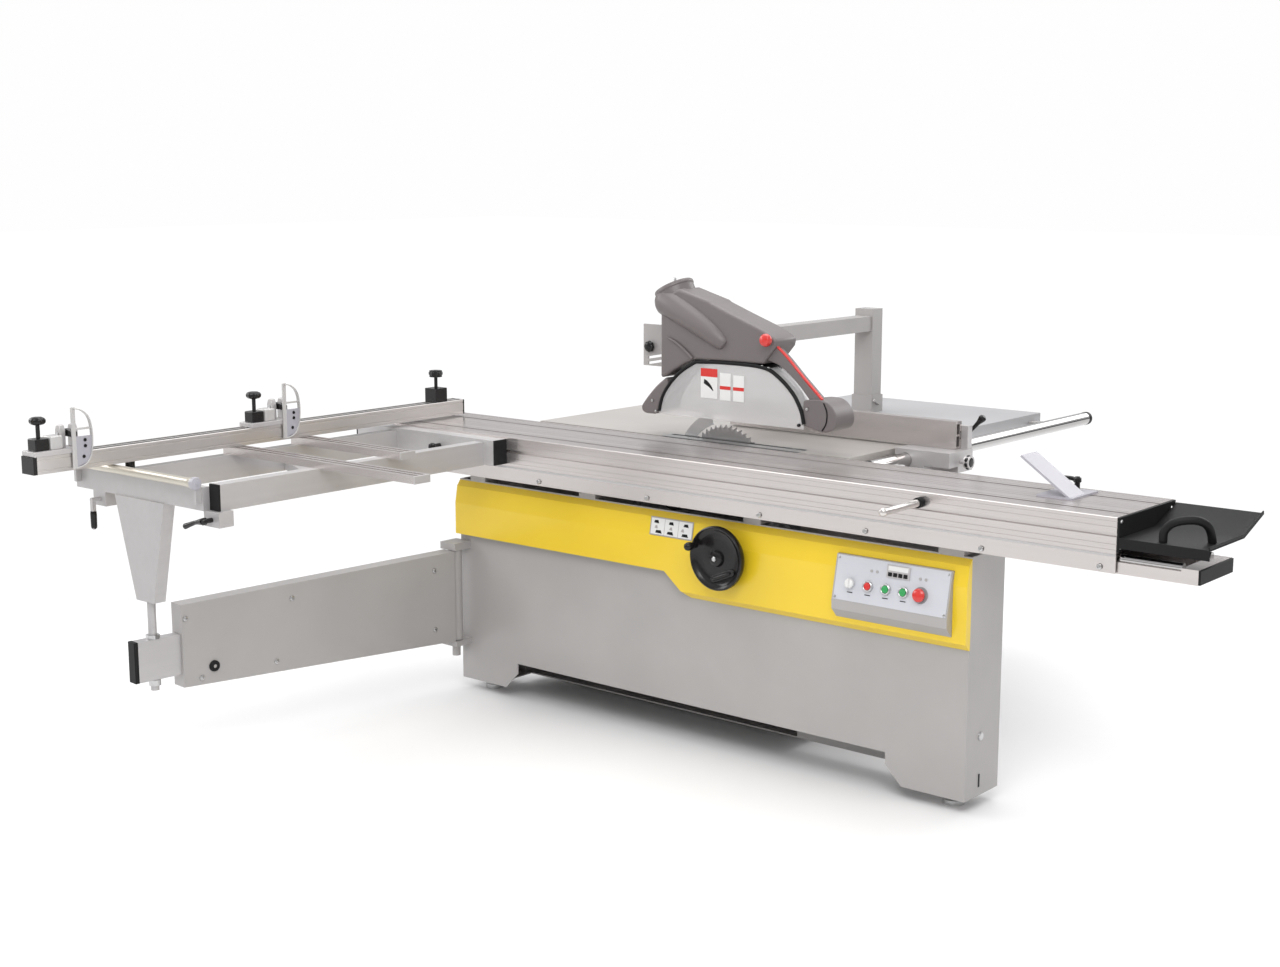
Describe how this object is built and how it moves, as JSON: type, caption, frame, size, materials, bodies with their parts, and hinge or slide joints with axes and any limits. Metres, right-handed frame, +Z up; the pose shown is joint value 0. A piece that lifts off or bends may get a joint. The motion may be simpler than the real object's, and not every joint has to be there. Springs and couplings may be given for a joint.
{
  "type": "panel saw",
  "caption": "Sliding-table panel saw with a tilting blade unit, overhead guard, rip fence, and an outrigger with a crosscut fence carried by a telescopic swing arm.",
  "frame": {"origin": "on the floor below the saw arbor, in the plane of the blade", "axes": "+Z up, +X along the sliding table towards the operator's end, +Y from the crosscut side to the rip side"},
  "size_m": [3.058, 3.212, 1.4093],
  "materials": {
    "base_grey": "satin powder coat",
    "panel_yellow": "satin powder coat",
    "aluminium_profile": "anodised, satin",
    "frame_grey": "satin paint",
    "table_iron": "ground",
    "extension_grey": "satin",
    "chrome_rod": "polished",
    "machined_steel": "machined",
    "cast_grey": "painted casting",
    "motor_grey": "satin",
    "belt_rubber": "matt",
    "black_plastic": "gloss",
    "shoe_white": "satin",
    "stop_block_grey": "satin",
    "flap_white": "satin",
    "guard_grey": "satin",
    "clear_cover": "clear",
    "signal_red": "gloss",
    "signal_green": "gloss",
    "knob_white": "gloss"
  },
  "bodies": {
    "base": {"base_cabinet": "base_grey", "levelling_feet": "machined_steel", "front_panel": "panel_yellow", "control_box": "base_grey", "base_brackets": "base_grey", "guide_beam": "base_grey", "guide_rods": "chrome_rod", "main_table": "table_iron", "table_insert": "machined_steel", "extension_table": "extension_grey", "tilt_trunnions": "cast_grey", "guard_post": "base_grey", "guard_boom": "base_grey"},
    "door": {"service_door": "base_grey"},
    "handwheel_body": {"handwheel": "black_plastic"},
    "tilting_unit": {"tilt_plate": "cast_grey", "main_motor": "motor_grey"},
    "rising_arm": {"saw_arm": "cast_grey", "riving_knife": "machined_steel", "drive_belt": "belt_rubber"},
    "motor_shaft": {"motor_pulley": "machined_steel"},
    "main_saw": {"saw_arbor": "machined_steel", "saw_blade": "machined_steel"},
    "scoring": {"scoring_saw": "machined_steel"},
    "stop_key": {"stop_button": "signal_red"},
    "saw_key": {"saw_button": "signal_green"},
    "scoring_key": {"scoring_button": "signal_green"},
    "emergency_key": {"emergency_stop": "signal_red"},
    "selector": {"selector_knob": "knob_white"},
    "sliding_table": {"carriage_profile": "aluminium_profile", "carriage_shoes": "machined_steel", "carriage_ends": "black_plastic", "push_rod": "black_plastic", "shoe_base": "shoe_white", "outrigger_frame": "frame_grey", "frame_fittings": "frame_grey", "support_profiles": "aluminium_profile"},
    "shoe_clamp": {"shoe_lever": "black_plastic"},
    "left_lever": {"left_clamp_lever": "black_plastic"},
    "right_lever": {"right_clamp_lever": "black_plastic"},
    "corner_handle": {"corner_lever": "black_plastic"},
    "roller": {"outer_roller": "chrome_rod"},
    "cross_fence": {"crosscut_fence": "aluminium_profile", "fence_fittings": "black_plastic"},
    "outer_stop": {"outer_stop_block": "stop_block_grey"},
    "outer_knob": {"outer_stop_knob": "black_plastic"},
    "outer_flap": {"outer_flip_stop": "flap_white"},
    "middle_stop": {"middle_stop_block": "stop_block_grey"},
    "middle_knob": {"middle_stop_knob": "black_plastic"},
    "middle_flap": {"middle_flip_stop": "flap_white"},
    "rip_block": {"rip_fence_block": "table_iron"},
    "rip_profile": {"rip_fence_profile": "aluminium_profile"},
    "rip_lever": {"rip_fence_lever": "black_plastic"},
    "support_arm": {"swing_arm": "base_grey"},
    "support_tube": {"arm_tube": "frame_grey"},
    "saw_guard": {"guard_hood": "guard_grey", "guard_cover": "clear_cover", "guard_linkage": "guard_grey", "guard_trim": "signal_red"},
    "guard_clamp": {"plate_knob": "black_plastic"}
  },
  "joints": [
    {"name": "door_swing", "type": "hinge", "parent": "base", "child": "door", "pos_m": [-0.694, 0.528, 0.43], "axis": [0, 0, 1], "range_deg": [0, 100]},
    {"name": "handwheel_turn", "type": "hinge", "parent": "base", "child": "handwheel_body", "pos_m": [0.266, -0.38, 0.62], "axis": [0, -1, 0], "range_deg": [-2160, 450]},
    {"name": "blade_tilt", "type": "hinge", "parent": "base", "child": "tilting_unit", "pos_m": [0, 0, 0.9], "axis": [-1, 0, 0], "range_deg": [0, 45]},
    {"name": "blade_rise", "type": "hinge", "parent": "tilting_unit", "child": "rising_arm", "pos_m": [-0.23, 0.047, 0.7], "axis": [0, -1, 0], "range_deg": [-12, 2.5]},
    {"name": "motor_spin", "type": "hinge", "parent": "tilting_unit", "child": "motor_shaft", "pos_m": [-0.23, 0.06, 0.7], "axis": [0, 1, 0], "continuous": true},
    {"name": "saw_spin", "type": "hinge", "parent": "rising_arm", "child": "main_saw", "pos_m": [0, 0, 0.7925], "axis": [0, 1, 0], "continuous": true},
    {"name": "scoring_spin", "type": "hinge", "parent": "tilting_unit", "child": "scoring", "pos_m": [0.245, 0, 0.842], "axis": [0, 1, 0], "continuous": true},
    {"name": "stop_press", "type": "slide", "parent": "base", "child": "stop_key", "axis": [0, 0.9774, -0.2113], "range_m": [0, 0.003], "stiffness_N_per_m": 400},
    {"name": "saw_press", "type": "slide", "parent": "base", "child": "saw_key", "axis": [0, 0.9774, -0.2113], "range_m": [0, 0.003], "stiffness_N_per_m": 400},
    {"name": "scoring_press", "type": "slide", "parent": "base", "child": "scoring_key", "axis": [0, 0.9774, -0.2113], "range_m": [0, 0.003], "stiffness_N_per_m": 400},
    {"name": "emergency_press", "type": "slide", "parent": "base", "child": "emergency_key", "axis": [0, 0.9774, -0.2113], "range_m": [0, 0.003], "stiffness_N_per_m": 400},
    {"name": "selector_turn", "type": "hinge", "parent": "base", "child": "selector", "pos_m": [0.723, -0.371, 0.609], "axis": [0, -0.9774, 0.2113], "range_deg": [-45, 45]},
    {"name": "table_slide", "type": "slide", "parent": "base", "child": "sliding_table", "axis": [1, 0, 0], "range_m": [-0.9, 0.3]},
    {"name": "shoe_turn", "type": "hinge", "parent": "sliding_table", "child": "shoe_clamp", "pos_m": [1.275, -0.125, 0.905], "axis": [0, 0, 1], "range_deg": [-20, 12]},
    {"name": "left_lever_turn", "type": "hinge", "parent": "sliding_table", "child": "left_lever", "pos_m": [-1.133, -0.47, 0.854], "axis": [0, 1, 0], "range_deg": [-45, 45]},
    {"name": "right_lever_turn", "type": "hinge", "parent": "sliding_table", "child": "right_lever", "pos_m": [-0.839, -0.47, 0.854], "axis": [0, 1, 0], "range_deg": [-45, 45]},
    {"name": "corner_handle_turn", "type": "hinge", "parent": "sliding_table", "child": "corner_handle", "pos_m": [-0.655, -1.52, 0.786], "axis": [0, 1, 0], "range_deg": [-30, 20]},
    {"name": "roller_spin", "type": "hinge", "parent": "sliding_table", "child": "roller", "pos_m": [-0.98, -1.533, 0.89], "axis": [1, 0, 0], "continuous": true},
    {"name": "fence_angle", "type": "hinge", "parent": "sliding_table", "child": "cross_fence", "pos_m": [-1.078, -1.474, 0.9], "axis": [0, 0, 1], "range_deg": [-45, 30]},
    {"name": "outer_stop_slide", "type": "slide", "parent": "cross_fence", "child": "outer_stop", "axis": [0, 1, 0], "range_m": [0, 0.45]},
    {"name": "outer_knob_turn", "type": "hinge", "parent": "outer_stop", "child": "outer_knob", "pos_m": [-1.078, -1.77, 1.03], "axis": [0, 0, 1], "range_deg": [-180, 180]},
    {"name": "outer_flap_flip", "type": "hinge", "parent": "outer_stop", "child": "outer_flap", "pos_m": [-1.085, -1.675, 1.013], "axis": [0, 1, 0], "range_deg": [-95, 0]},
    {"name": "middle_stop_slide", "type": "slide", "parent": "cross_fence", "child": "middle_stop", "axis": [0, 1, 0], "range_m": [-0.1, 0.55]},
    {"name": "middle_knob_turn", "type": "hinge", "parent": "middle_stop", "child": "middle_knob", "pos_m": [-1.078, -1.015, 1.03], "axis": [0, 0, 1], "range_deg": [-180, 180]},
    {"name": "middle_flap_flip", "type": "hinge", "parent": "middle_stop", "child": "middle_flap", "pos_m": [-1.085, -0.92, 1.013], "axis": [0, 1, 0], "range_deg": [-95, 0]},
    {"name": "rip_slide", "type": "slide", "parent": "base", "child": "rip_block", "axis": [0, 1, 0], "range_m": [-0.19, 0.5]},
    {"name": "rip_profile_slide", "type": "slide", "parent": "rip_block", "child": "rip_profile", "axis": [1, 0, 0], "range_m": [-0.05, 0.35]},
    {"name": "rip_lever_turn", "type": "hinge", "parent": "rip_block", "child": "rip_lever", "pos_m": [0.662, 0.346, 0.948], "axis": [0, 1, 0], "range_deg": [0, 50]},
    {"name": "arm_swing", "type": "hinge", "parent": "base", "child": "support_arm", "pos_m": [-0.852, -0.378, 0.34], "axis": [0, 0, 1], "range_deg": [-40, 15]},
    {"name": "tube_slide", "type": "slide", "parent": "support_arm", "child": "support_tube", "axis": [-0.1028, -0.9947, 0], "range_m": [-0.02, 0.38]},
    {"name": "guard_height", "type": "slide", "parent": "base", "child": "saw_guard", "axis": [0, 0, 1], "range_m": [-0.035, 0.06]},
    {"name": "guard_clamp_turn", "type": "hinge", "parent": "base", "child": "guard_clamp", "pos_m": [-0.362, 0.06, 1.172], "axis": [0, 1, 0], "range_deg": [-180, 180]}
  ],
  "couplings": [
    {"joint": "blade_rise", "follows": "handwheel_turn", "ratio": 0.0055556},
    {"joint": "saw_spin", "follows": "motor_spin", "ratio": 1.5}
  ]
}
